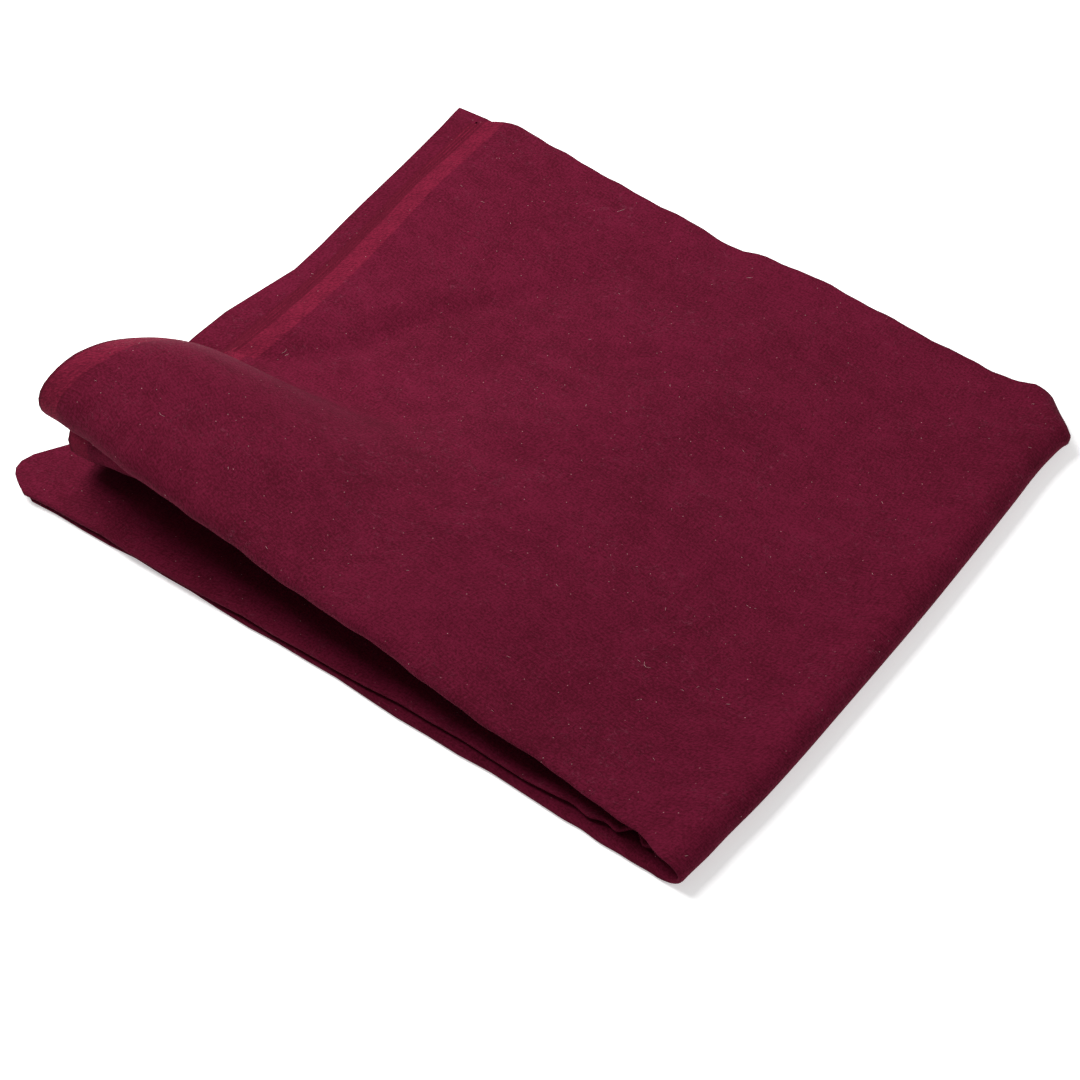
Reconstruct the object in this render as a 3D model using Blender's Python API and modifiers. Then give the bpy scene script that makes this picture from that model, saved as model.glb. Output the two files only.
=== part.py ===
"""A folded turban cloth: one long maroon cotton cloth, folded flat for storage.

The cloth's plies lie together as leaves. The leaves run forward and back in a zigzag, so folds
lie along the front and the back, and the stack is then folded in half round a spine on its
right (+X). Its left end (-X) is open: it shows the selvedges. The front of the upper half
stands up in one large loose fold that dies away towards the spine.

Metres, +Z up. The origin is under the middle of the packet, on the surface it rests on.
"""

import math

import bmesh
import bpy
import numpy as np

# The packet in plan
PACKET_WIDTH = 0.522  # open end to spine, along X
PACKET_DEPTH = 0.450  # front folds to back folds, along Y

# The cloth and the air in it
WALL = 0.001  # one leaf, its plies pressed together
LEAF_GAP = 0.0014  # between two leaves
HALF_GAP = 0.0016  # between the two halves where the packet lies flat
SPINE_HOLLOW = 0.0046  # the same inside the spine
SPINE_EASE = 0.100  # distance from the spine in which the hollow closes to the gap
END_STEP = 0.0036  # how much further out each higher leaf of the lower half ends

# The folds
CREST_LIFT = 0.076  # rise of the raised fold's crest over the flat top
FOLD_REACH = 0.030  # how far the raised fold bows out in front of its crest
TIGHT_REACH = 0.0022  # the same for a fold that lies pressed
CREASE_DEPTH = 0.0016  # soft crease that runs back from the foot of the raised fold
CREASE_WIDTH = 0.011  # half its width

# Mesh steps
FOLD_STEPS = 7
LOWER_STEPS = 9
SPINE_STEPS = 8
UPPER_STEPS = 21
UPPER_CROWDING = 1.35  # above 1, the upper half's columns crowd towards the open end
LEAF_PLACES = (0, 0.18, 0.36, 0.52, 0.61, 0.67, 0.73, 0.80, 0.87, 0.93, 0.97, 1)  # rows of a leaf, back to front

# The open end and the spine in plan, by place along the depth from the front (0) to the back (1).
# Shares of PACKET_WIDTH: lower_end for the lower half's top leaf, upper_end and inner_end for the
# upper half's outer and innermost leaves, all inwards from the open end, and spine inwards from
# the spine's furthest point.
SIDE_COLUMNS = ("along", "lower_end", "upper_end", "inner_end", "spine")
SIDES = (
    (0.000, 0.018, 0.048, 0.080, 0.011),
    (0.045, 0.000, 0.049, 0.078, 0.009),
    (0.075, 0.010, 0.055, 0.076, 0.006),
    (0.115, 0.031, 0.059, 0.072, 0.004),
    (0.180, 0.039, 0.065, 0.072, 0.001),
    (0.270, 0.039, 0.082, 0.076, 0.000),
    (0.360, 0.035, 0.101, 0.082, 0.003),
    (0.440, 0.037, 0.105, 0.082, 0.003),
    (0.560, 0.057, 0.105, 0.084, 0.002),
    (0.680, 0.051, 0.098, 0.078, 0.005),
    (0.800, 0.047, 0.088, 0.068, 0.010),
    (0.920, 0.036, 0.086, 0.062, 0.016),
    (1.000, 0.029, 0.090, 0.060, 0.020),
)

# The folded edges, by place across the width from the open end (0) to the spine (1). Shares of
# PACKET_DEPTH inwards from the front or the back: the outer and the inner fold of each half in
# front, and each half's edge at the back.
EDGE_COLUMNS = ("across", "low_outer", "low_inner", "top_outer", "top_inner", "low_back", "top_back")
EDGES = (
    (0.00, 0.003, 0.000, 0.045, 0.069, 0.012, 0.032),
    (0.12, 0.010, 0.006, 0.044, 0.069, 0.010, 0.026),
    (0.25, 0.014, 0.012, 0.043, 0.073, 0.008, 0.020),
    (0.40, 0.018, 0.019, 0.043, 0.076, 0.006, 0.021),
    (0.49, 0.019, 0.024, 0.043, 0.074, 0.006, 0.031),
    (0.55, 0.020, 0.028, 0.043, 0.071, 0.006, 0.018),
    (0.70, 0.022, 0.034, 0.042, 0.061, 0.002, 0.007),
    (0.85, 0.023, 0.038, 0.043, 0.053, 0.000, 0.009),
    (0.93, 0.023, 0.040, 0.041, 0.051, 0.000, 0.004),
    (1.00, 0.020, 0.041, 0.034, 0.049, 0.006, 0.016),
)

# The raised fold, by place across the width. steep and gentle are the two parts of its rise, as
# shares of CREST_LIFT: a short slope behind the crest, and a long one that starts at the crease.
# bulge is how much of the short slope's rise comes early, 1 for an even slope. middle and inner
# are the shares of the rise that the second and third leaves and the last leaf follow. reach is
# a share of FOLD_REACH. steep_foot and gentle_foot are where the two slopes start, as shares of
# PACKET_DEPTH from the front.
LIFT_COLUMNS = (
    "across", "steep", "gentle", "bulge", "middle", "inner", "reach", "steep_foot", "gentle_foot",
)
LIFTS = (
    (0.00, 1.00, 0.00, 1.5, 0.45, 0.10, 1.00, 0.34, 0.26),
    (0.06, 1.00, 0.00, 1.6, 0.45, 0.10, 0.96, 0.35, 0.30),
    (0.14, 0.88, 0.02, 2.7, 0.47, 0.11, 0.84, 0.38, 0.40),
    (0.24, 0.64, 0.08, 2.8, 0.50, 0.13, 0.66, 0.40, 0.57),
    (0.34, 0.38, 0.20, 2.0, 0.54, 0.20, 0.50, 0.41, 0.75),
    (0.44, 0.12, 0.35, 1.6, 0.62, 0.32, 0.38, 0.43, 0.93),
    (0.54, 0.02, 0.37, 1.5, 0.70, 0.44, 0.28, 0.44, 1.00),
    (0.64, 0.00, 0.28, 1.5, 0.76, 0.52, 0.21, 0.44, 1.00),
    (0.76, 0.00, 0.15, 1.5, 0.84, 0.64, 0.13, 0.44, 1.00),
    (0.88, 0.00, 0.04, 1.5, 0.92, 0.80, 0.01, 0.44, 1.00),
    (1.00, 0.00, 0.00, 1.5, 1.00, 1.00, 0.00, 0.44, 1.00),
)
FOOT_ROUNDING = 0.10  # of the steep slope's length, where it leaves the flat
INNER_REACH = 0.5  # reach of the inner front fold, as a share of the outer one's

# The line of the soft crease in plan, and how deep it is there. Shares of PACKET_DEPTH,
# PACKET_WIDTH and CREASE_DEPTH.
CREASE_COLUMNS = ("along", "across", "depth")
CREASE = (
    (0.36, 0.13, 0.0),
    (0.46, 0.18, 0.8),
    (0.58, 0.25, 1.0),
    (0.69, 0.32, 0.8),
    (0.79, 0.38, 0.0),
)
CREASE_SLANT = 0.75  # distance square to the crease for one along X
CREASE_LOSS = 0.25  # how much shallower the crease is in each leaf further in

OUTER, SECOND, THIRD, INNERMOST = range(4)
LAST = INNERMOST
STACK = (LAST + 1) * WALL + LAST * LEAF_GAP
FLAT_HEIGHT = 2 * STACK + HALF_GAP
SPINE_HEIGHT = 2 * STACK + SPINE_HOLLOW
RIGHT = PACKET_WIDTH / 2
FRONT = -PACKET_DEPTH / 2


def read(table, columns, name, place):
    """A column's value at a place, on a smooth curve through the table's rows."""
    places = np.array([row[0] for row in table])
    values = np.array([row[columns.index(name)] for row in table])
    slopes = np.gradient(values, places)
    place = np.clip(place, places[0], places[-1])
    row = np.clip(np.searchsorted(places, place, side="right") - 1, 0, len(places) - 2)
    span = places[row + 1] - places[row]
    t = (place - places[row]) / span
    start = values[row] * (1 + 2 * t) * (1 - t) ** 2 + slopes[row] * span * t * (1 - t) ** 2
    end = values[row + 1] * (3 - 2 * t) * t ** 2 + slopes[row + 1] * span * t ** 2 * (t - 1)
    return start + end


def across(x):
    """The share of the width from the open end to x."""
    return (x + RIGHT) / PACKET_WIDTH


def along(y):
    """The share of the depth from the front to y."""
    return (y - FRONT) / PACKET_DEPTH


def side(name, y):
    """An inset of the open end or of the spine at y."""
    return PACKET_WIDTH * read(SIDES, SIDE_COLUMNS, name, along(y))


def edge(name, share):
    """An inset of a folded edge at a share of the width."""
    return PACKET_DEPTH * read(EDGES, EDGE_COLUMNS, name, share)


def eased(t):
    """0 to 1 with level ends, for t from 0 to 1."""
    t = np.clip(t, 0, 1)
    return t * t * (3 - 2 * t)


def bulged(t, bulge):
    """0 to 1 with a soft foot and a level top, and the more of it early the greater the bulge."""
    t = np.clip(t, 0, 1)
    t = t * t * (1 + FOOT_ROUNDING) / (t + FOOT_ROUNDING)
    return 1 - (1 - t) ** bulge


def raised_reach(share):
    """How far the raised fold bows out in front of its crest."""
    return TIGHT_REACH + (FOLD_REACH - TIGHT_REACH) * read(LIFTS, LIFT_COLUMNS, "reach", share)


def lift(x, y):
    """Rise of the outer leaf of the upper half over its flat height."""
    share = across(x)
    value = {name: read(LIFTS, LIFT_COLUMNS, name, share) for name in LIFT_COLUMNS[1:]}
    crest = FRONT + edge("top_outer", share) + raised_reach(share)
    steep_foot = FRONT + PACKET_DEPTH * value["steep_foot"]
    gentle_foot = FRONT + PACKET_DEPTH * value["gentle_foot"]
    steep = bulged((steep_foot - y) / (steep_foot - crest), value["bulge"])
    gentle = eased((gentle_foot - y) / (gentle_foot - crest))
    return CREST_LIFT * (value["steep"] * steep + value["gentle"] * gentle)


def follow(leaf, x):
    """The share of the outer leaf's lift that a leaf follows. leaf may lie between two leaves."""
    middle = read(LIFTS, LIFT_COLUMNS, "middle", across(x))
    inner = read(LIFTS, LIFT_COLUMNS, "inner", across(x))
    if leaf <= SECOND:
        return 1 + (middle - 1) * leaf
    return middle + (inner - middle) * max(0, leaf - THIRD)


def crease(leaf, x, y):
    """Depth of the soft crease in a leaf of the upper half."""
    line = read(CREASE, CREASE_COLUMNS, "across", along(y))
    depth = CREASE_DEPTH * read(CREASE, CREASE_COLUMNS, "depth", along(y)) * (1 - CREASE_LOSS * leaf)
    distance = (across(x) - line) * PACKET_WIDTH * CREASE_SLANT
    return depth * np.exp(-((distance / CREASE_WIDTH) ** 2))


class Column:
    """One line through the stack of leaves, at a fixed place round the half fold.

    half is 0 in the lower half and 1 in the upper, and goes from 0 to 1 round the spine. share is
    the column's place across the width, from the open end (0) to the spine (1).
    """

    def __init__(self, half, share):
        self.half = half
        self.share = share

    def plan(self, leaf, y):
        """X of a leaf at y, and its height without lift."""
        depth = WALL / 2 + leaf * (WALL + LEAF_GAP)
        radius = SPINE_HEIGHT / 2
        turn = RIGHT - side("spine", y) - radius
        if 0 < self.half < 1:
            angle = math.pi * (self.half - 0.5)
            return turn + (radius - depth) * math.cos(angle), radius + (radius - depth) * math.sin(angle)
        if self.half == 0:
            inset = side("lower_end", y) + (LAST - leaf) * END_STEP
        else:
            inset = side("upper_end", y) + (side("inner_end", y) - side("upper_end", y)) * leaf / LAST
        x = -RIGHT + inset + (turn + RIGHT - inset) * self.share
        if self.half == 0:
            return x, depth
        top = SPINE_HEIGHT + (FLAT_HEIGHT - SPINE_HEIGHT) * eased((turn - x) / SPINE_EASE)
        return x, top - depth

    def point(self, leaf, y):
        """The place of a whole leaf at y."""
        x, z = self.plan(leaf, y)
        if self.half == 1:
            z += follow(leaf, x) * lift(x, y) - crease(leaf, x, y)
        return x, y, z

    def front(self, leaf):
        """Y of the tip of the front fold that holds this leaf, and how far the fold bows out."""
        pair, share_of_reach = ("outer", 1) if leaf < THIRD else ("inner", INNER_REACH)
        low, top = edge("low_" + pair, self.share), edge("top_" + pair, self.share)
        raised = TIGHT_REACH + (raised_reach(self.share) - TIGHT_REACH) * share_of_reach
        return FRONT + low + (top - low) * self.half, TIGHT_REACH + (raised - TIGHT_REACH) * self.half

    def back(self):
        """Y of the back edge."""
        low, top = edge("low_back", self.share), edge("top_back", self.share)
        return -FRONT - low - (top - low) * self.half

    def leaf_line(self, leaf):
        """The points of a leaf, from its back to its front."""
        tip, bow = self.front(leaf)
        back = self.back() - (TIGHT_REACH if leaf in (SECOND, THIRD) else 0)
        return [self.point(leaf, back + (tip + bow - back) * place) for place in LEAF_PLACES]

    def fold_line(self, leaf, start, end, bow):
        """The points of the half-round fold from the end of a leaf to the start of the next."""
        line = []
        for step in range(1, FOLD_STEPS):
            angle = math.pi * step / FOLD_STEPS
            between = (1 - math.cos(angle)) / 2
            y = start[1] + (end[1] - start[1]) * between + bow * math.sin(angle)
            x, z = self.plan(leaf + between, y)
            if self.half == 1:
                z = start[2] + (end[2] - start[2]) * between
            line.append((x, y, z))
        return line

    def points(self):
        """The whole line of cloth, from its outer end to its inner end."""
        leaves = [self.leaf_line(leaf) for leaf in range(LAST + 1)]
        line = list(leaves[OUTER])
        for leaf in range(LAST):
            forward = leaf % 2 == 0
            following = leaves[leaf + 1][::-1] if forward else leaves[leaf + 1]
            bow = -self.front(leaf)[1] if forward else TIGHT_REACH
            line += self.fold_line(leaf, line[-1], following[0], bow) + following
        return line


def columns():
    """The columns from the lower half's open end, round the spine, to the upper half's."""
    lower = [Column(0, step / LOWER_STEPS) for step in range(LOWER_STEPS + 1)]
    spine = [Column(step / SPINE_STEPS, 1) for step in range(1, SPINE_STEPS)]
    upper = [Column(1, (1 - step / UPPER_STEPS) ** UPPER_CROWDING) for step in range(UPPER_STEPS + 1)]
    return lower + spine + upper


def grid_object(name, collection, rows):
    """A mesh object made from a flat grid whose points are moved onto the rows of points."""
    mesh = bpy.data.meshes.new(name)
    shape = bmesh.new()
    last_row, last_point = len(rows) - 1, len(rows[0]) - 1
    bmesh.ops.create_grid(shape, x_segments=last_row, y_segments=last_point, size=1)
    for vertex in shape.verts:
        row = round((vertex.co.x + 1) / 2 * last_row)
        vertex.co = rows[row][round((vertex.co.y + 1) / 2 * last_point)]
    for face in shape.faces:
        face.smooth = True
    shape.to_mesh(mesh)
    shape.free()
    thing = bpy.data.objects.new(name, mesh)
    collection.objects.link(thing)
    return thing


def thicken(thing, wall):
    """Gives an open surface its wall, half of it on each side."""
    solidify = thing.modifiers.new("wall", "SOLIDIFY")
    solidify.thickness = wall
    solidify.offset = 0
    solidify.use_even_offset = True


def cotton(name, colour):
    """Matt woven cotton."""
    material = bpy.data.materials.new(name)
    material.use_nodes = True
    shader = material.node_tree.nodes["Principled BSDF"]
    shader.inputs["Base Color"].default_value = (*colour, 1)
    shader.inputs["Roughness"].default_value = 0.92
    shader.inputs["Metallic"].default_value = 0.0
    return material


def clear_scene():
    """Removes whatever the scene holds."""
    for thing in list(bpy.data.objects):
        bpy.data.objects.remove(thing, do_unlink=True)


def main():
    """Builds the folded cloth."""
    clear_scene()
    collection = bpy.data.collections.new("folded_turban_cloth")
    bpy.context.scene.collection.children.link(collection)
    cloth = grid_object("turban_cloth", collection, [column.points() for column in columns()])
    thicken(cloth, WALL)
    cloth.data.materials.append(cotton("maroon_cotton", (0.120, 0.009, 0.026)))


main()
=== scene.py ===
"""A folded turban cloth, dressed: one long maroon cotton cloth in plies, lint on it, and its stage.

The cloth is one continuous sheet. Its length is doubled twice into a strip of four plies. The
strip runs forward and back in a zigzag of four leaves, and the stack of leaves is folded in half
across its width round a spine on the right (+X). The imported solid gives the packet's size. Each
of the solid's leaves stands for four plies here. The tables of edges and folds are laid out as the
solid's are, with values of their own: the inner leaves stand higher under the raised fold than the
solid's do.

Metres, +Z up, in the frame's own place.
"""

import math

import bmesh
import bpy
import numpy as np
from bpy.props import FloatProperty, FloatVectorProperty, IntProperty, PointerProperty
from bpy.types import Operator, Panel, PropertyGroup
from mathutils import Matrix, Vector


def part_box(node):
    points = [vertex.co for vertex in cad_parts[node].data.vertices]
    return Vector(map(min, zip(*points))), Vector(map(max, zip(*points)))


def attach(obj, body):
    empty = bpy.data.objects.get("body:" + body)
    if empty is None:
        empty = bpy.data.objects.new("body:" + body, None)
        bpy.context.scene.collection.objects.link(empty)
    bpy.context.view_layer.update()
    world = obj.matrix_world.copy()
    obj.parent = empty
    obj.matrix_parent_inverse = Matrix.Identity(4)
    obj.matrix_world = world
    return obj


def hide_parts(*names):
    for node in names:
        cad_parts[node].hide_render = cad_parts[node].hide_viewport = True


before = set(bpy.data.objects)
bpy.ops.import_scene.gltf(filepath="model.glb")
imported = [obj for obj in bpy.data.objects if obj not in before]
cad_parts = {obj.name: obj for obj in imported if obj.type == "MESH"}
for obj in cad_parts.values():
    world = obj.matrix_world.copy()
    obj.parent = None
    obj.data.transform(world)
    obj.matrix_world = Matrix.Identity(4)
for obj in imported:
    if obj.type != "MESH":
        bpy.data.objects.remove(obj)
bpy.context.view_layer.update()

bl_info = {
    "name": "Folded turban cloth",
    "version": (1, 0, 0),
    "blender": (4, 5, 0),
    "location": "View3D > Sidebar > Turban cloth",
    "description": "Builds a folded cotton turban cloth, the lint on it and its stage",
    "category": "Object",
}

NODE = "turban_cloth"
BODY = "root"

# The leaves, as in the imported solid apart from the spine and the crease
WALL = 0.001  # one leaf, its plies pressed together
LEAF_GAP = 0.0014  # between two leaves
HALF_GAP = 0.0016  # between the two halves where the packet lies flat
SPINE_HOLLOW = 0.0034  # the same inside the spine
SPINE_REACH = 0.016  # how far the outer leaf bows out round the spine
SPINE_EASE = 0.100  # distance from the spine in which the hollow closes to the gap
END_STEP = 0.0036  # how much further out each higher leaf of the lower half ends
FOLD_REACH = 0.030  # how far the raised fold bows out in front of its crest
TIGHT_REACH = 0.0022  # the same for a fold that lies pressed
CREASE_DEPTH = 0.0034  # soft crease that runs back from the foot of the raised fold
CREASE_WIDTH = 0.009  # half its width
OUTER, SECOND, THIRD, INNERMOST = range(4)
LAST = INNERMOST
STACK = (LAST + 1) * WALL + LAST * LEAF_GAP
FLAT_HEIGHT = 2 * STACK + HALF_GAP
SPINE_HEIGHT = 2 * STACK + SPINE_HOLLOW

# The packet's size, from the solid's box
BOX_LOW, BOX_HIGH = (Vector(corner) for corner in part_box(NODE))
RIGHT = BOX_HIGH.x
FRONT = BOX_LOW.y + WALL / 2
PACKET_WIDTH = 2 * RIGHT
PACKET_DEPTH = -2 * FRONT
CREST_LIFT = BOX_HIGH.z - FLAT_HEIGHT

# The cloth before it was folded
CLOTH_WIDTH = 1.0
CLOTH_LENGTH = 7.0
PLIES = 4
STRIP_LENGTH = CLOTH_LENGTH / PLIES

# The open end and the spine in plan, by place along the depth from the front (0) to the back (1).
# Shares of PACKET_WIDTH: lower_end for the lower half's top leaf, upper_end and inner_end for the
# upper half's outer and innermost leaves, all inwards from the open end, and spine inwards from
# the spine's furthest point. corner is how much further in the spine goes at its back corner.
SIDE_COLUMNS = ("along", "lower_end", "upper_end", "inner_end", "spine", "corner")
SIDES = (
    (0.000, 0.044, 0.048, 0.080, 0.010, 0.000),
    (0.015, 0.021, 0.048, 0.080, 0.010, 0.000),
    (0.045, 0.010, 0.050, 0.078, 0.009, 0.000),
    (0.075, 0.022, 0.057, 0.076, 0.007, 0.000),
    (0.115, 0.043, 0.063, 0.072, 0.006, 0.000),
    (0.180, 0.044, 0.068, 0.072, 0.003, 0.000),
    (0.270, 0.039, 0.083, 0.076, 0.002, 0.000),
    (0.360, 0.035, 0.101, 0.082, 0.003, 0.000),
    (0.440, 0.037, 0.105, 0.082, 0.004, 0.000),
    (0.560, 0.055, 0.105, 0.084, 0.006, 0.000),
    (0.680, 0.048, 0.098, 0.078, 0.010, 0.000),
    (0.800, 0.041, 0.088, 0.068, 0.015, 0.000),
    (0.900, 0.035, 0.086, 0.064, 0.019, 0.000),
    (0.940, 0.032, 0.085, 0.062, 0.017, 0.000),
    (0.956, 0.030, 0.084, 0.062, 0.015, 0.000),
    (0.966, 0.029, 0.083, 0.062, 0.015, 0.009),
    (0.978, 0.028, 0.083, 0.062, 0.016, 0.022),
    (1.000, 0.027, 0.088, 0.064, 0.017, 0.044),
)
CORNER_FROM = 0.85  # share of the width where the corner starts to draw the columns in

# The folded edges, by place across the width from the open end (0) to the spine (1). Shares of
# PACKET_DEPTH inwards from the front or the back: the outer and the inner fold of each half in
# front, and each half's edge at the back.
EDGE_COLUMNS = ("across", "low_outer", "low_inner", "top_outer", "top_inner", "low_back", "top_back")
EDGES = (
    (0.00, 0.003, 0.000, 0.045, 0.069, 0.014, 0.037),
    (0.02, 0.005, 0.002, 0.045, 0.070, 0.011, 0.022),
    (0.12, 0.010, 0.006, 0.044, 0.083, 0.010, 0.020),
    (0.25, 0.014, 0.012, 0.043, 0.092, 0.010, 0.024),
    (0.36, 0.017, 0.017, 0.043, 0.090, 0.012, 0.027),
    (0.43, 0.018, 0.020, 0.043, 0.086, 0.014, 0.030),
    (0.46, 0.019, 0.022, 0.043, 0.084, 0.014, 0.031),
    (0.49, 0.019, 0.024, 0.043, 0.081, 0.010, 0.020),
    (0.55, 0.020, 0.028, 0.043, 0.076, 0.008, 0.012),
    (0.70, 0.022, 0.034, 0.042, 0.061, 0.006, 0.013),
    (0.85, 0.023, 0.038, 0.043, 0.053, 0.006, 0.014),
    (0.93, 0.024, 0.039, 0.041, 0.052, 0.006, 0.016),
    (0.965, 0.024, 0.040, 0.043, 0.051, 0.004, 0.012),
    (1.00, 0.021, 0.041, 0.029, 0.049, 0.001, 0.001),
)

# The raised fold, by place across the width. steep and gentle are the two parts of its rise, as
# shares of CREST_LIFT: a short slope behind the crest, and a long one that starts at the crease.
# bulge is how much of the short slope's rise comes early, 1 for an even slope. middle and inner
# are the shares of the rise that the second and third leaves and the last leaf follow. reach is
# a share of FOLD_REACH. steep_foot and gentle_foot are where the two slopes start, as shares of
# PACKET_DEPTH from the front.
LIFT_COLUMNS = (
    "across", "steep", "gentle", "bulge", "middle", "inner", "reach", "steep_foot", "gentle_foot",
)
LIFTS = (
    (0.00, 1.00, 0.00, 1.5, 0.45, 0.10, 1.00, 0.34, 0.26),
    (0.06, 1.00, 0.00, 1.6, 0.45, 0.10, 0.96, 0.35, 0.30),
    (0.14, 0.88, 0.02, 3.5, 0.52, 0.18, 0.84, 0.358, 0.40),
    (0.24, 0.64, 0.08, 4.6, 0.59, 0.29, 0.66, 0.372, 0.57),
    (0.34, 0.38, 0.20, 3.6, 0.65, 0.36, 0.50, 0.388, 0.75),
    (0.44, 0.12, 0.35, 1.6, 0.69, 0.40, 0.38, 0.43, 0.93),
    (0.54, 0.02, 0.37, 1.5, 0.70, 0.44, 0.28, 0.44, 1.00),
    (0.64, 0.00, 0.28, 1.5, 0.76, 0.52, 0.21, 0.44, 1.00),
    (0.76, 0.00, 0.15, 1.5, 0.84, 0.64, 0.13, 0.44, 1.00),
    (0.87, 0.00, 0.04, 1.5, 0.92, 0.80, 0.01, 0.44, 1.00),
    (0.94, 0.00, 0.00, 1.5, 1.00, 1.00, 0.00, 0.44, 1.00),
)
FOOT_ROUNDING = 0.10  # of the steep slope's length, where it leaves the flat
INNER_REACH = 0.32  # reach of the inner front fold, as a share of the outer one's

# The line of the soft crease in plan, and how deep it is there. Shares of PACKET_DEPTH,
# PACKET_WIDTH and CREASE_DEPTH.
CREASE_COLUMNS = ("along", "across", "depth")
CREASE = (
    (0.34, 0.10, 0.0),
    (0.40, 0.16, 0.9),
    (0.46, 0.21, 1.0),
    (0.57, 0.25, 1.0),
    (0.67, 0.31, 0.8),
    (0.76, 0.36, 0.5),
    (0.86, 0.42, 0.0),
)
CREASE_SLANT = 0.75  # distance square to the crease for one along X
CREASE_LOSS = 0.25  # how much shallower the crease is in each leaf further in

# The low relief, which the solid doesn't have, one kind of soft hill a row: its length along a
# heading, its depth across it, the heading in degrees, its height, and the seed of its places
RELIEF = (
    (0.130, 0.080, 0, 0.0008, 11),
    (0.120, 0.030, 38, 0.0010, 12),
    (0.050, 0.017, 30, 0.0003, 13),
    (0.018, 0.012, 0, 0.0001, 14),
)
RELIEF_LOSS = 0.28  # how much lower the hills are in each leaf further from the packet's top
LOWER_RELIEF = 0.5  # share of their height in the lower half's top leaf, and less in each below
RELIEF_MARGIN = 0.06  # share of the width before the spine in which the hills die away
HILL_COUNT = 80  # random heights along each side of the field that the hills are read from

# Small hollows and swellings added to the hills: shares of the width and the depth, radius, height
DENTS = (
    (0.492, 0.955, 0.009, -0.0015),
    (0.44, 0.930, 0.022, 0.0010),
    (0.915, 0.13, 0.030, -0.0010),
    (0.76, 0.42, 0.040, 0.0008),
)

# How far the folded edges wander from their tables: length of each wave, phase, share of WANDER
WANDER = 0.0009
WAVES = (
    (0.143, 0.3, 0.8),
    (0.061, 1.9, 0.5),
    (0.027, 4.1, 0.3),
)
EDGE_TURN = 2.4  # phase between one edge's waves and the next edge's

# The crumple of the inner front folds beside the spine, one tuck a row: its place as a share of
# the width, half its width, how far it draws the fold in, and how far it lifts the lower half
TUCK_COLUMNS = ("across", "half_width", "depth", "height")
TUCKS = (
    (0.862, 0.0300, 0.0012, 0.0006),
    (0.910, 0.0200, 0.0020, 0.0008),
    (0.948, 0.0200, 0.0060, 0.0036),
    (0.976, 0.0140, 0.0016, 0.0012),
    (1.006, 0.0200, 0.0120, 0.0000),
)
TUCK_REACH = 0.022  # distance from the fold in which a tuck's lift dies away

# Mesh steps
LEAF_STEPS = (73, 23, 20, 28)  # rows of each leaf, from the outer one in
END_CROWDING = (0.50, 0.75, 0.80, 0.85)  # how much closer a leaf's rows lie at its front and back
FOLD_STEPS = (14, 5, 5)  # rows round each fold between two leaves
WRAP_STEPS = 4  # rows round a fold between two plies
LOWER_STEPS = (19, 31)  # columns as far as CORNER_FROM, and from there to the spine
SPINE_STEPS = 14  # columns round the spine
UPPER_STEPS = 79  # columns of the upper half
UPPER_CROWDING = 1.12  # above 1, the upper half's columns crowd towards the open end

# Lint that shows singly: shares of the width and the depth, length, heading in degrees, bend
LINT = (
    (0.33, 0.93, 0.0065, 65, 0.1),
    (0.15, 0.41, 0.0042, 85, 0.7),
    (0.155, 0.408, 0.0030, 70, 0.4),
    (0.18, 0.82, 0.0030, 10, 0.3),
    (0.79, 0.25, 0.0026, -5, 0.3),
    (0.80, 0.25, 0.0056, -10, 1.6),
    (0.85, 0.25, 0.0020, 10, 0.2),
    (0.90, 0.27, 0.0022, 35, 0.5),
    (0.82, 0.20, 0.0022, 60, 0.2),
    (0.98, 0.05, 0.0022, 50, 0.2),
    (0.88, 0.14, 0.0020, -20, 0.2),
    (0.68, 0.14, 0.0024, 15, 0.4),
    (0.77, 0.34, 0.0022, -60, 0.6),
    (0.19, 0.12, 0.0042, 5, 0.8),
    (0.39, 0.06, 0.0024, -20, 0.3),
    (0.53, 0.93, 0.0040, 40, 0.3),
    (0.87, 0.68, 0.0024, -35, 0.2),
    (0.96, 0.89, 0.0022, 20, 0.2),
)
LINT_SEED = 5
LINT_STEPS = 6
STREWN_PLACE = ((0.06, 0.06, -90), (0.98, 0.97, 90))  # lowest and highest place and heading
STREWN_SIZE = ((0.0007, 0.0), (0.0022, 1.2))  # lowest and highest length and bend
BEND_MIDDLE = 0.1  # keeps a bent fibre about its place
FIBRE_RISE = 1.2  # height of a fibre's middle line over the cloth, in fibre radii
FIBRE_ARCH = 1.5  # how much higher its middle stands, in fibre radii
ARCH_TURN = 1.6 * math.pi
FIBRE_TAPER = 1.2  # radius at a fibre's middle, in fibre radii, which halves towards its ends

# The cotton's noises: size across the cloth, along it, and through it, where nothing varies
WARP_SLUB = (0.0008, 0.0110, 1.0)
WEFT_SLUB = (0.0110, 0.0008, 1.0)
BROAD_PATCH = (0.110, 0.090, 1.0)
PATCH = (0.019, 0.015, 1.0)
GRAIN = (0.0017, 0.0015, 1.0)
TUFT = (0.050, 0.040, 1.0)
STRAND = (0.0075, 0.0060, 1.0)
HAIR = (0.0032, 0.0028, 1.0)
FUZZ_BREAK = (0.0060, 0.0055, 1.0)
SPECK_CELLS = (150.0, 150.0, 1.0)  # cells to a metre

# The values between which a noise goes from nothing to its full effect
STRAND_SPAN = (0.022, 0.0)
HAIR_SPAN = (0.030, 0.0)
BREAK_SPAN = (0.46, 0.68)
TUFT_SPAN = (0.42, 0.66)
SPECK_SPAN = (0.060, 0.015)
CHANCE_SPAN = (0.86, 1.08)

# The cotton's roughness, from its deep tone to its light one
ROUGHNESS_SPAN = (0.98, 0.88)

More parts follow.
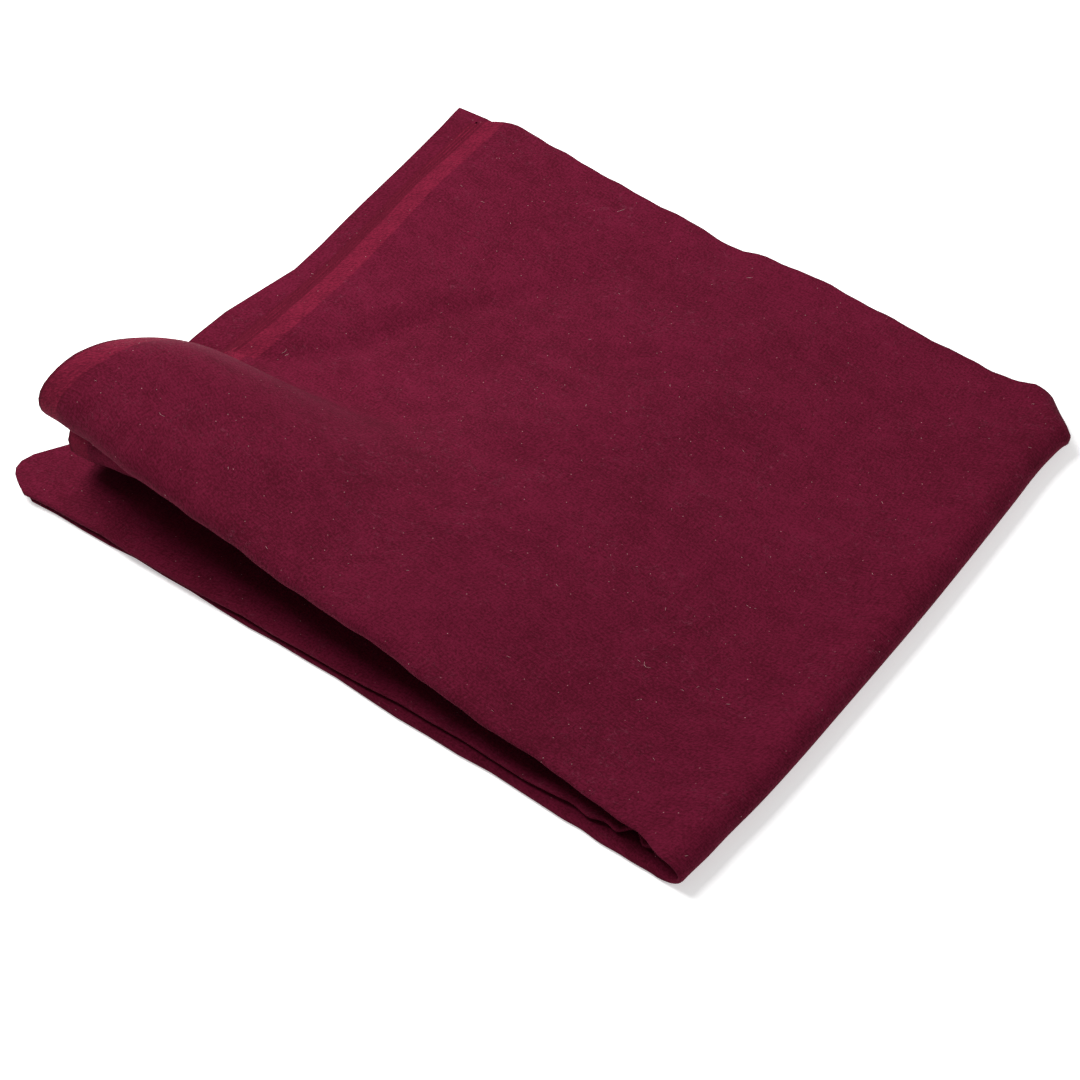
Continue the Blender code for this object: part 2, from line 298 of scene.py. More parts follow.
# How much each part counts in the weave, the tone, the fuzz and the colour
CHECKER_SHARE = 0.5
THREAD_SHARE = 0.25
BROAD_SHARE = 0.55
PATCH_SHARE = 0.55
GRAIN_SHARE = 2.4
SLUB_SHARE = 0.7
STRAND_SHARE = 0.8
HAIR_SHARE = 0.6
FUZZ_SHARE = 0.34
BAND_SHARE = 0.7
# The next share is painted shadow: how much deep maroon lies along the selvedge's outer edge
SHADOW_LINE_SHARE = 0.65
SPECK_SHARE = 0.7
SLUB_HEIGHT_SHARE = 0.5

# The selvedge's edges, and the painted shadow line along its outer edge
BAND_WANDER = 0.0016
BAND_SOFTNESS = 0.0008
SHADOW_LINE_SPAN = (0.0008, -0.0004)  # offsets from the painted shadow line's width: where it starts and where it is full

# The other materials
LINT_PATCH = (0.001, 0.001, 0.001)
PAPER_GRAIN = (0.003, 0.003, 0.003)
PAPER_SHADE = 0.985  # the paper's darker tone, as a share of its colour

# The stage
FLOOR_HALF = 4.0
LOOK_AT = (0.0357, -0.0565, 0.0)
SENSOR_WIDTH = 36.0
CLIP_END = 20.0
KEY_PLACE = (-1.05, 0.06, 1.25)
KEY_SIZE = 1.1
FILL_PLACE = (1.15, 0.50, 0.65)
FILL_SIZE = 0.8


def read(table, columns, name, place):
    """A column's value at a place, on a smooth curve through the table's rows."""
    places = np.array([row[0] for row in table])
    values = np.array([row[columns.index(name)] for row in table])
    slopes = np.gradient(values, places)
    place = np.clip(place, places[0], places[-1])
    row = np.clip(np.searchsorted(places, place, side="right") - 1, 0, len(places) - 2)
    span = places[row + 1] - places[row]
    t = (place - places[row]) / span
    start = values[row] * (1 + 2 * t) * (1 - t) ** 2 + slopes[row] * span * t * (1 - t) ** 2
    end = values[row + 1] * (3 - 2 * t) * t**2 + slopes[row + 1] * span * t**2 * (t - 1)
    return start + end


def across(x):
    """The share of the width from the open end to x."""
    return (x + RIGHT) / PACKET_WIDTH


def along(y):
    """The share of the depth from the front to y."""
    return (y - FRONT) / PACKET_DEPTH


def side(name, y):
    """An inset of the open end or of the spine at y."""
    return PACKET_WIDTH * read(SIDES, SIDE_COLUMNS, name, along(y))


def wander(name, share):
    """How far a folded edge lies from its table, at a share of the width."""
    turn = EDGE_TURN * EDGE_COLUMNS.index(name)
    waves = [
        part * np.sin(2 * math.pi * share * PACKET_WIDTH / length + phase + turn)
        for length, phase, part in WAVES
    ]
    return WANDER * sum(waves)


def edge(name, share):
    """An inset of a folded edge at a share of the width."""
    return PACKET_DEPTH * read(EDGES, EDGE_COLUMNS, name, share) + wander(name, share)


def eased(t):
    """0 to 1 with level ends, for t from 0 to 1."""
    t = np.clip(t, 0, 1)
    return t * t * (3 - 2 * t)


def bulged(t, bulge):
    """0 to 1 with a soft foot and a level top, and the more of it early the greater the bulge."""
    t = np.clip(t, 0, 1)
    t = t * t * (1 + FOOT_ROUNDING) / (t + FOOT_ROUNDING)
    return 1 - (1 - t) ** bulge


def raised_reach(share):
    """How far the raised fold bows out in front of its crest."""
    return TIGHT_REACH + (FOLD_REACH - TIGHT_REACH) * read(LIFTS, LIFT_COLUMNS, "reach", share)


def lift(x, y):
    """Rise of the outer leaf of the upper half over its flat height."""
    share = across(x)
    value = {name: read(LIFTS, LIFT_COLUMNS, name, share) for name in LIFT_COLUMNS[1:]}
    crest = FRONT + PACKET_DEPTH * read(EDGES, EDGE_COLUMNS, "top_outer", share) + raised_reach(share)
    steep_foot = FRONT + PACKET_DEPTH * value["steep_foot"]
    gentle_foot = FRONT + PACKET_DEPTH * value["gentle_foot"]
    steep = bulged((steep_foot - y) / (steep_foot - crest), value["bulge"])
    gentle = eased((gentle_foot - y) / (gentle_foot - crest))
    return CREST_LIFT * (value["steep"] * steep + value["gentle"] * gentle)


def follow(leaf, x):
    """The share of the outer leaf's lift that a leaf follows. leaf may lie between two leaves."""
    middle = read(LIFTS, LIFT_COLUMNS, "middle", across(x))
    inner = read(LIFTS, LIFT_COLUMNS, "inner", across(x))
    if leaf <= SECOND:
        return 1 + (middle - 1) * leaf
    return middle + (inner - middle) * max(0, leaf - THIRD)


def crease(leaf, x, y):
    """Depth of the soft crease in a leaf of the upper half."""
    line = read(CREASE, CREASE_COLUMNS, "across", along(y))
    depth = CREASE_DEPTH * read(CREASE, CREASE_COLUMNS, "depth", along(y)) * (1 - CREASE_LOSS * leaf)
    distance = (across(x) - line) * PACKET_WIDTH * CREASE_SLANT
    return depth * np.exp(-((distance / CREASE_WIDTH) ** 2))


def hills(x, y, long, deep, heading, seed):
    """Smooth random heights from -1 to 1 over the plan, with hills long along a heading."""
    heights = np.random.default_rng(seed).uniform(-1, 1, (HILL_COUNT, HILL_COUNT))
    turn = math.radians(heading)
    u = (x * math.cos(turn) + y * math.sin(turn)) / long + HILL_COUNT / 2
    v = (y * math.cos(turn) - x * math.sin(turn)) / deep + HILL_COUNT / 2
    i = np.floor(u).astype(int)
    j = np.floor(v).astype(int)
    s = eased(u - i)
    t = eased(v - j)
    near = heights[i, j] * (1 - s) + heights[i + 1, j] * s
    far = heights[i, j + 1] * (1 - s) + heights[i + 1, j + 1] * s
    return near * (1 - t) + far * t


def relief(x, y):
    """The height of the low hills and dents."""
    height = sum(
        tall * hills(x, y, long, deep, heading, seed) for long, deep, heading, tall, seed in RELIEF
    )
    for place, back, radius, tall in DENTS:
        far = np.hypot((across(x) - place) * PACKET_WIDTH, (along(y) - back) * PACKET_DEPTH)
        height = height + tall * np.exp(-((far / radius) ** 2))
    return height


def tucked(share, name):
    """The depth or the height of the tucks at a share of the width."""
    total = 0 * share
    for row in TUCKS:
        tuck = dict(zip(TUCK_COLUMNS, row))
        total = total + tuck[name] * eased(1 - np.abs(share - tuck["across"]) / tuck["half_width"])
    return total


class Stack:
    """The stack of leaves, read along columns that run round the half fold.

    half is 0 in the lower half and 1 in the upper, and goes from 0 to 1 round the spine. share is
    a column's place across the width, from the open end (0) to the spine (1).
    """

    def __init__(self):
        far = np.linspace(0, CORNER_FROM, LOWER_STEPS[0])
        near = np.linspace(CORNER_FROM, 1, LOWER_STEPS[1])
        lower = np.concatenate([far, near[1:]])
        spine = np.arange(1, SPINE_STEPS) / SPINE_STEPS
        upper = (1 - np.arange(UPPER_STEPS + 1) / UPPER_STEPS) ** UPPER_CROWDING
        self.half = np.concatenate([0 * lower, spine, 0 * upper + 1])
        self.share = np.concatenate([lower, 0 * spine + 1, upper])
        self.upper = self.half == 1
        self.lower = self.half == 0

    def plan(self, leaf, y):
        """X of a leaf at y, and its height without lift, for each column."""
        depth = WALL / 2 + leaf * (WALL + LEAF_GAP)
        radius = SPINE_HEIGHT / 2
        turn = RIGHT - side("spine", y) - SPINE_REACH
        angle = math.pi * (self.half - 0.5)
        low_inset = side("lower_end", y) + (LAST - leaf) * END_STEP
        top_inset = side("upper_end", y)
        top_inset = top_inset + (side("inner_end", y) - top_inset) * leaf / LAST
        inset = np.where(self.lower, low_inset, top_inset)
        x = -RIGHT + inset + (turn + RIGHT - inset) * self.share
        top = SPINE_HEIGHT + (FLAT_HEIGHT - SPINE_HEIGHT) * eased((turn - x) / SPINE_EASE)
        z = np.where(self.lower, depth, top - depth)
        flat = self.lower | self.upper
        round_x = turn + (SPINE_REACH - depth) * np.cos(angle)
        round_z = radius + (radius - depth) * np.sin(angle)
        drawn_in = np.clip((self.share - CORNER_FROM) / (1 - CORNER_FROM), 0, 1)
        drawn_in = drawn_in * side("corner", y)
        return np.where(flat, x, round_x) - drawn_in, np.where(flat, z, round_z)

    def place(self, leaf, y):
        """The places of a whole leaf at y."""
        x, z = self.plan(leaf, y)
        low = relief(x, y) * eased((1 - self.share) / RELIEF_MARGIN)
        raised = follow(leaf, x) * lift(x, y) - crease(leaf, x, y) + low * (1 - RELIEF_LOSS * leaf)
        lower = low * LOWER_RELIEF * leaf / LAST
        if leaf in (THIRD, INNERMOST):
            reach = np.clip(1 - (y - self.front(leaf)[0]) / TUCK_REACH, 0, 1)
            lower = lower + tucked(self.share, "height") * reach
        z = z + np.where(self.upper, raised, np.where(self.lower, lower, 0))
        return np.stack([x, y, z], axis=1)

    def front(self, leaf):
        """Y of the tip of the front fold that holds this leaf, and how far the fold bows out."""
        pair, share_of_reach = ("outer", 1) if leaf < THIRD else ("inner", INNER_REACH)
        low, top = edge("low_" + pair, self.share), edge("top_" + pair, self.share)
        if pair == "inner":
            low, top = low + tucked(self.share, "depth"), top + tucked(self.share, "depth")
        raised = TIGHT_REACH + (raised_reach(self.share) - TIGHT_REACH) * share_of_reach
        return FRONT + low + (top - low) * self.half, TIGHT_REACH + (raised - TIGHT_REACH) * self.half

    def back(self):
        """Y of the back edge."""
        low, top = edge("low_back", self.share), edge("top_back", self.share)
        return -FRONT - low - (top - low) * self.half

    def leaf_rows(self, leaf):
        """The rows of a leaf, from its back to its front."""
        tip, bow = self.front(leaf)
        back = self.back() - (TIGHT_REACH if leaf in (SECOND, THIRD) else 0)
        steps = LEAF_STEPS[leaf]
        places = np.arange(steps + 1) / steps
        places = places - END_CROWDING[leaf] * np.sin(2 * math.pi * places) / (2 * math.pi)
        return [self.place(leaf, back + (tip + bow - back) * place) for place in places]

    def fold_rows(self, leaf, start, end, bow):
        """The rows of the half-round fold from the end of a leaf to the start of the next."""
        rows = []
        flat = self.lower | self.upper
        for step in range(1, FOLD_STEPS[leaf]):
            angle = math.pi * step / FOLD_STEPS[leaf]
            between = (1 - math.cos(angle)) / 2
            y = start[:, 1] + (end[:, 1] - start[:, 1]) * between + bow * math.sin(angle)
            x, z = self.plan(leaf + between, y)
            z = np.where(flat, start[:, 2] + (end[:, 2] - start[:, 2]) * between, z)
            rows.append(np.stack([x, y, z], axis=1))
        return rows

    def rows(self):
        """The middle of the strip of plies, from its outer end to its inner end."""
        leaves = [self.leaf_rows(leaf) for leaf in range(LAST + 1)]
        rows = list(leaves[OUTER])
        for leaf in range(LAST):
            forward = leaf % 2 == 0
            following = leaves[leaf + 1][::-1] if forward else leaves[leaf + 1]
            bow = -self.front(leaf)[1] if forward else TIGHT_REACH
            rows += self.fold_rows(leaf, rows[-1], following[0], bow) + following
        return np.array(rows)


def unit(vectors):
    """Vectors made one long."""
    return vectors / np.linalg.norm(vectors, axis=-1, keepdims=True)


def run_along(rows, axis):
    """The distance run along one way of a grid of points, which is 0 at its start."""
    steps = np.linalg.norm(np.diff(rows, axis=axis), axis=2)
    start = np.zeros_like(np.take(steps, [0], axis=axis))
    return np.concatenate([start, np.cumsum(steps, axis=axis)], axis=axis)


def strip_run(rows):
    """The distance along the strip at each point, each column measured by itself.

    The columns are set level again in the fold at the back, between the second and third leaf.
    """
    run = run_along(rows, 0)
    restart = sum(LEAF_STEPS[:THIRD]) + THIRD + FOLD_STEPS[OUTER] - 1 + FOLD_STEPS[SECOND] // 2
    middle = run.shape[1] // 2
    run[restart:] += run[restart, middle] - run[restart]
    return run * STRIP_LENGTH / run[-1, middle]


def wrap_rows(row, outward, onward, middle, radius):
    """The rows of a fold between two plies: half round, from the ply further out to the one inside."""
    turns = np.pi * np.arange(1, WRAP_STEPS)[:, None, None] / WRAP_STEPS
    return row + outward * (middle + radius * np.cos(turns)) + onward * radius * np.sin(turns)


def sheet_rows(rows, ply_gap):
    """The rows of the whole cloth, and how far along the cloth each of their points lies.

    The strip's four plies are joined where the cloth was doubled. They are numbered from the
    outside. The outer end of the strip joins 0 to 3 and 2 to 1, and its inner end joins 3 to 2
    and holds the cloth's two cut ends.
    """
    onward = np.gradient(rows, axis=0)
    outward = unit(np.cross(np.gradient(rows, axis=1), onward))
    onward = unit(onward)
    run = strip_run(rows)
    height = [((PLIES - 1) / 2 - ply) * ply_gap for ply in range(PLIES)]
    start = rows[0], outward[0], -onward[0]
    end = rows[-1], outward[-1], onward[-1]
    wraps = (
        wrap_rows(*start, 0, height[0]),
        wrap_rows(*end, (height[2] + height[3]) / 2, ply_gap / 2)[::-1],
        wrap_rows(*start, 0, height[1])[::-1],
        rows[:0],
    )
    sheet, lengths = [], []
    for turn, (ply, wrap) in enumerate(zip((0, 3, 2, 1), wraps)):
        way = 1 if turn % 2 else -1
        begun = STRIP_LENGTH * (turn + (way < 0))
        sheet += [(rows + outward * height[ply])[::way], wrap]
        lengths += [(begun + way * run)[::way], np.full(wrap.shape[:2], STRIP_LENGTH * (turn + 1))]
    return np.concatenate(sheet), np.concatenate(lengths)


def grid_mesh(name, rows, lengths):
    """A mesh of four-sided faces over rows of points, with the sheet's own place at each point.

    The place is in metres on the flat cloth: across its width, and along its length.
    """
    count, wide = rows.shape[:2]
    mesh = bpy.data.meshes.new(name)
    shape = bmesh.new()
    bmesh.ops.create_grid(shape, x_segments=wide - 1, y_segments=count - 1, size=1)
    shape.to_mesh(mesh)
    shape.free()
    mesh.vertices.foreach_set("co", rows.astype(np.float32).ravel())
    widths = run_along(rows, 1)
    flat = np.zeros((count, wide, 3), np.float32)
    flat[..., 0] = widths * CLOTH_WIDTH / widths[:, -1].mean()
    flat[..., 1] = lengths
    places = mesh.attributes.new("cloth_place", "FLOAT_VECTOR", "POINT")
    places.data.foreach_set("vector", flat.ravel())
    mesh.shade_smooth()
    mesh.update()
    return mesh


class Wire:
    """A number that varies over a surface: a node's output, whose operators add Math nodes."""

    def __init__(self, tree, socket):
        self.tree = tree
        self.socket = socket

    def math(self, operation, first, second=None):
        """A Math node on one or two values."""
        inputs = {0: first} if second is None else {0: first, 1: second}
        return self.tree.node("ShaderNodeMath", {"operation": operation}, inputs)

    def __add__(self, other):
        return self.math("ADD", self, other)

    __radd__ = __add__

    def __sub__(self, other):
        return self.math("SUBTRACT", self, other)

    def __rsub__(self, other):
        return self.math("SUBTRACT", other, self)

    def __mul__(self, other):
        return self.math("MULTIPLY", self, other)

    __rmul__ = __mul__

    def __abs__(self):
        return self.math("ABSOLUTE", self)

    def sine(self):
        """The sine of the value."""
        return self.math("SINE", self)

    def beside(self, output):
        """Another output of the node that this one comes from."""
        return Wire(self.tree, self.socket.node.outputs[output])


class Shading:
    """The nodes of one material."""

    def __init__(self, name):
        self.material = bpy.data.materials.new(name)
        self.material.use_nodes = True
        self.tree = self.material.node_tree
        self.shader = self.tree.nodes["Principled BSDF"]

    def plug(self, value, socket):
        """Links a wire to a socket, or sets the socket to a plain value."""
        if isinstance(value, Wire):
            self.tree.links.new(value.socket, socket)
        else:
            socket.default_value = value

    def node(self, kind, settings=None, inputs=None, output=0):
        """A new node: its settings first, then what its sockets hold. Gives the output named."""
        node = self.tree.nodes.new(kind)
        for name, value in (settings or {}).items():
            setattr(node, name, value)
        for name, value in (inputs or {}).items():
            self.plug(value, node.inputs[name])
        return Wire(self, node.outputs[output])

    def finish(self, **inputs):
        """Sets the shader's sockets, given by name with _ for a space."""
        for name, value in inputs.items():
            self.plug(value, self.shader.inputs[name.replace("_", " ")])
        return self.material

    def scaled(self, where, factors):
        """A place with each of its parts times a factor."""
        return self.node("ShaderNodeVectorMath", {"operation": "MULTIPLY"}, {0: where, 1: factors})

    def noise(self, where, size, detail=2.0, roughness=0.5, distortion=0.0):
        """Soft noise about 0.5, with features of a size along X, Y and Z."""
        inputs = {
            "Vector": self.scaled(where, [1 / part for part in size]),
            "Scale": 1.0,
            "Detail": detail,
            "Roughness": roughness,
            "Distortion": distortion,
        }
        return self.node("ShaderNodeTexNoise", {"noise_dimensions": "3D"}, inputs)

    def range(self, value, low, high, to_low=0.0, to_high=1.0):
        """A value carried smoothly from one range to another, and held at its ends."""
        inputs = {"Value": value, 1: low, 2: high, 3: to_low, 4: to_high}
        return self.node("ShaderNodeMapRange", {"interpolation_type": "SMOOTHSTEP"}, inputs)

    def mix(self, factor, first, second):
        """Two colours, mixed."""
        return self.node("ShaderNodeMix", {"data_type": "RGBA"}, {0: factor, 6: first, 7: second}, 2)


def colour(values):
    """A colour with its alpha."""
    return (*values, 1.0)


def cotton(colours, sizes):
    """Matt maroon cotton: plain weave, soft fuzz, a slightly lighter selvedge with painted shadow at
    its edge, pale specks.
    """
    look = Shading("maroon_cotton")
    place = look.node("ShaderNodeAttribute", {"attribute_name": "cloth_place"}, output="Vector")
    width_place = look.node("ShaderNodeSeparateXYZ", inputs={0: place})
    length_place = width_place.beside("Y")

    # Weave: warp and weft threads that pass over each other by turns
    turn = math.pi / sizes.thread_pitch
    warp = (width_place * turn).sine()
    weft = (length_place * turn).sine()
    warp_round = abs((width_place * (turn / 2)).sine())
    weft_round = abs((length_place * (turn / 2)).sine())
    weave = warp * weft * CHECKER_SHARE + warp_round * THREAD_SHARE + weft_round * THREAD_SHARE

    # Threads that are thicker or thinner for a stretch, along each way of the cloth
    slubs = look.noise(place, WARP_SLUB) + look.noise(place, WEFT_SLUB) - 1.0

    # Patches of tone, from broad to fine
    broad = look.noise(place, BROAD_PATCH) - 0.5
    patches = look.noise(place, PATCH, detail=3.0) - 0.5
    grain = look.noise(place, GRAIN, detail=3.0, roughness=0.7) - 0.5
    tone = broad * BROAD_SHARE + patches * PATCH_SHARE + grain * GRAIN_SHARE + slubs * SLUB_SHARE + 0.5
    lightness = look.range(tone, 0.0, 1.0)
    body = look.mix(lightness, colour(colours.shade), colour(colours.light))

    # Fuzz: faint curved fibres of two lengths, where soft noises agree
    tufts = look.noise(place, TUFT, detail=3.0)
    strands = abs(look.noise(place, STRAND, detail=1.0, distortion=0.9) - 0.5)
    hairs = abs(look.noise(place, HAIR, detail=1.0, distortion=1.4) - 0.5)
    breaks = look.noise(place, FUZZ_BREAK, detail=1.0)
    fuzz = look.range(strands, *STRAND_SPAN) * STRAND_SHARE + look.range(hairs, *HAIR_SPAN) * HAIR_SHARE
    fuzz = fuzz * look.range(breaks, *BREAK_SPAN) * look.range(tufts, *TUFT_SPAN)
    body = look.mix(fuzz * FUZZ_SHARE, body, colour(colours.fuzz))

    # The selvedge: a band of denser weave along the cloth's upper long edge
    band_edge = sizes.selvedge_width + patches * BAND_WANDER
    band = look.range(band_edge - width_place, -BAND_SOFTNESS, BAND_SOFTNESS)
    # Painted shadow: a thin line of the deep maroon along the selvedge's outer edge, standing in for
    # the shadow line there
    shadow_line = look.range(width_place, *(sizes.selvedge_shadow_width + part for part in SHADOW_LINE_SPAN))
    selvedge = look.mix(lightness, colour(colours.selvedge_shade), colour(colours.selvedge))
    body = look.mix(band * BAND_SHARE, body, selvedge)
    body = look.mix(shadow_line * SHADOW_LINE_SHARE, body, colour(colours.shade))

    # Pale specks, each a dot in a few of the cells
    cells = {"Vector": look.scaled(place, SPECK_CELLS), "Scale": 1.0, "Randomness": 1.0}
    dots = look.node("ShaderNodeTexVoronoi", {"voronoi_dimensions": "2D"}, cells)
    chance = look.node("ShaderNodeSeparateColor", inputs={0: dots.beside("Color")})
    speck = look.range(dots, *SPECK_SPAN) * look.range(chance, *CHANCE_SPAN)
    body = look.mix(speck * SPECK_SHARE, body, colour(colours.lint))

    height = weave * sizes.weave_height + (grain + slubs * SLUB_HEIGHT_SHARE) * sizes.fuzz_height
    height = height + fuzz * sizes.fuzz_height
    bump = look.node("ShaderNodeBump", inputs={"Strength": 1.0, "Distance": 1.0, "Height": height})
    return look.finish(
        Base_Color=body,
        Roughness=look.range(tone, 0.0, 1.0, *ROUGHNESS_SPAN),
        Specular_IOR_Level=0.10,
        Sheen_Weight=0.06,
        Sheen_Roughness=0.5,
        Sheen_Tint=colour(colours.fuzz),
        Normal=bump,
    )


def lint_cotton(colours):
    """Pale undyed cotton fibre."""
    look = Shading("lint_cotton")
    where = look.node("ShaderNodeTexCoord", output="Object")
    patches = look.noise(where, LINT_PATCH)
    body = look.mix(patches, colour(colours.lint), colour(colours.fuzz))
    return look.finish(Base_Color=body, Roughness=0.8, Specular_IOR_Level=0.2)


def floor_paper(colours):
    """Plain pale paper."""
    look = Shading("floor_paper")
    where = look.node("ShaderNodeTexCoord", output="Object")
    grain = look.noise(where, PAPER_GRAIN, detail=3.0)
    pale = colour(colours.floor)
    shaded = colour([part * PAPER_SHADE for part in colours.floor])
    return look.finish(
        Base_Color=look.mix(grain, shaded, pale),
        Roughness=0.9,
        Specular_IOR_Level=0.1,
        Emission_Color=pale,
        Emission_Strength=0.5,
    )


def add_object(name, data):
    """A new object in the scene."""
    thing = bpy.data.objects.new(name, data)
    bpy.context.scene.collection.objects.link(thing)
    return thing


def spot_on(cloth, share, back):
    """The point and the normal of the cloth's upper side at shares of the width and depth."""
    start = Vector((-RIGHT + share * PACKET_WIDTH, FRONT + back * PACKET_DEPTH, 2 * BOX_HIGH.z))
    found, place, normal, _ = cloth.ray_cast(start, Vector((0, 0, -1)))
    return (place, normal) if found else None


def lay_fibre(curves, cloth, fibre, thickness):
    """Adds one bent fibre that lies on the cloth."""
    share, back, length, heading, bend = fibre
    spot = spot_on(cloth, share, back)
    if spot is None:
        return
    place, normal = spot
    normal = normal if normal.z > 0 else -normal
    heading = math.radians(heading)
    forward = Vector((math.cos(heading), math.sin(heading), 0))
    forward = (forward - normal * forward.dot(normal)).normalized()
    sideways = normal.cross(forward)
    spline = curves.splines.new("POLY")
    spline.points.add(LINT_STEPS - 1)
    for step, point in enumerate(spline.points):
        t = step / (LINT_STEPS - 1) - 0.5
        curl = bend * length * (t * t - BEND_MIDDLE)
        rise = thickness * (FIBRE_RISE + FIBRE_ARCH * math.cos(ARCH_TURN * t))
        point.co = (*(place + forward * (t * length) + sideways * curl + normal * rise), 1)
        point.radius = FIBRE_TAPER - FIBRE_TAPER * abs(t)


class ClothSizes(PropertyGroup):
    """The sizes of the cloth's weave and edges."""

    ply_gap: FloatProperty(
        name="Ply spacing", description="From one ply of the strip to the next",
        default=WALL / PLIES, min=0.0001, max=0.0003, unit="LENGTH", precision=5,
    )
    thread_pitch: FloatProperty(
        name="Thread pitch", description="From one thread to the next",
        default=0.00042, min=0.0002, max=0.002, unit="LENGTH", precision=5,
    )
    weave_height: FloatProperty(
        name="Weave height", description="How far the threads stand up",
        default=0.00006, min=0.0, max=0.0005, unit="LENGTH", precision=6,
    )
    fuzz_height: FloatProperty(
        name="Fuzz height", description="How far the fuzz stands up",
        default=0.00016, min=0.0, max=0.001, unit="LENGTH", precision=6,
    )
    selvedge_width: FloatProperty(
        name="Selvedge width", description="The denser band along the upper long edge",
        default=0.0155, min=0.0, max=0.05, unit="LENGTH", precision=4,
    )
    # Painted shadow line: the width of the deep maroon strip along the selvedge's outer edge
    selvedge_shadow_width: FloatProperty(
        name="Selvedge rim", description="The darker rim of the selvedge",
        default=0.0018, min=0.0, max=0.01, unit="LENGTH", precision=4,
    )


class ClothColours(PropertyGroup):
    """The colours of the cloth, its lint and its floor."""

    shade: FloatVectorProperty(
        name="Maroon, deep", description="The cloth where its threads are sunk",
        subtype="COLOR", default=(0.058, 0.0013, 0.0085), min=0.0, max=1.0,
    )
    light: FloatVectorProperty(
        name="Maroon, light", description="The cloth where its threads are raised",
        subtype="COLOR", default=(0.125, 0.0042, 0.0235), min=0.0, max=1.0,
    )
    selvedge_shade: FloatVectorProperty(
        name="Selvedge, deep", description="The denser band where its threads are sunk",
        subtype="COLOR", default=(0.085, 0.0035, 0.0150), min=0.0, max=1.0,
    )
    selvedge: FloatVectorProperty(
        name="Selvedge, light", description="The denser band where its threads are raised",
        subtype="COLOR", default=(0.200, 0.0085, 0.0310), min=0.0, max=1.0,
    )
    fuzz: FloatVectorProperty(
        name="Fuzz", description="Fibres that stand up from the cloth",
        subtype="COLOR", default=(0.260, 0.060, 0.100), min=0.0, max=1.0,
    )
    lint: FloatVectorProperty(
        name="Lint", description="Pale loose fibres and specks",
        subtype="COLOR", default=(0.80, 0.52, 0.50), min=0.0, max=1.0,
    )
    floor: FloatVectorProperty(
        name="Floor", description="The plain pale floor",
        subtype="COLOR", default=(0.88, 0.88, 0.88), min=0.0, max=1.0,
    )


class LintSizes(PropertyGroup):
    """The lint that lies on the cloth."""

    count: IntProperty(
        name="Small fibres", description="How many small fibres are strewn at random",
        default=45, min=0, max=2000,
    )
    thickness: FloatProperty(
        name="Fibre thickness", description="Radius of a fibre",
        default=0.00009, min=0.00002, max=0.001, unit="LENGTH", precision=5,
    )


class StageSizes(PropertyGroup):
    """The camera and the light."""

    azimuth: FloatProperty(
        name="Camera azimuth", description="Round from the front, towards the right",
        default=math.radians(37.6), subtype="ANGLE",
    )
    elevation: FloatProperty(
        name="Camera elevation", description="Up from the floor",
        default=math.radians(49.1), subtype="ANGLE",
    )
    distance: FloatProperty(
        name="Camera distance", description="From the point looked at",
        default=1.871, unit="LENGTH",
    )
    focal_length: FloatProperty(
        name="Focal length", description="In millimetres, on a sensor 36 mm wide", default=101.97,
    )
    key_power: FloatProperty(
        name="Key light", description="Power of the large soft light", default=44.0, min=0.0,
    )
    fill_power: FloatProperty(
        name="Fill light", description="Power of the weak light beside the spine", default=4.5, min=0.0,
    )
    sky: FloatProperty(
        name="Surrounding light", description="Strength of the even light", default=0.22, min=0.0,
    )


class TURBANCLOTH_OT_build_cloth(Operator):
    """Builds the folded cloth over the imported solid"""

    bl_idname = "turbancloth.build_cloth"
    bl_label = "Build the cloth"

    def execute(self, context):
        scene = context.scene
        rows, lengths = sheet_rows(Stack().rows(), scene.cloth_sizes.ply_gap)
        mesh = grid_mesh("folded_cloth", rows[:, ::-1], lengths[:, ::-1])
        cloth = add_object("folded_cloth", mesh)
        cloth.data.materials.append(cotton(scene.cloth_colours, scene.cloth_sizes))
        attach(cloth, BODY)
        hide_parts(NODE)
        return {"FINISHED"}


class TURBANCLOTH_OT_strew_lint(Operator):
    """Lays loose fibres on the cloth's upper side"""

    bl_idname = "turbancloth.strew_lint"
    bl_label = "Strew the lint"

    def execute(self, context):
        scene = context.scene
        cloth = bpy.data.objects["folded_cloth"]
        context.view_layer.update()
        curves = bpy.data.curves.new("lint", "CURVE")
        curves.dimensions = "3D"
        curves.bevel_depth = scene.lint_sizes.thickness
        curves.bevel_resolution = 1
        curves.use_fill_caps = True
        chance = np.random.default_rng(LINT_SEED)
        for fibre in LINT:
            lay_fibre(curves, cloth, fibre, scene.lint_sizes.thickness)
        for _ in range(scene.lint_sizes.count):
            share, back, heading = chance.uniform(*STREWN_PLACE)
            length, bend = chance.uniform(*STREWN_SIZE)
            lay_fibre(curves, cloth, (share, back, length, heading, bend), scene.lint_sizes.thickness)
        lint = add_object("lint", curves)
        lint.data.materials.append(lint_cotton(scene.cloth_colours))
        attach(lint, BODY)
        return {"FINISHED"}


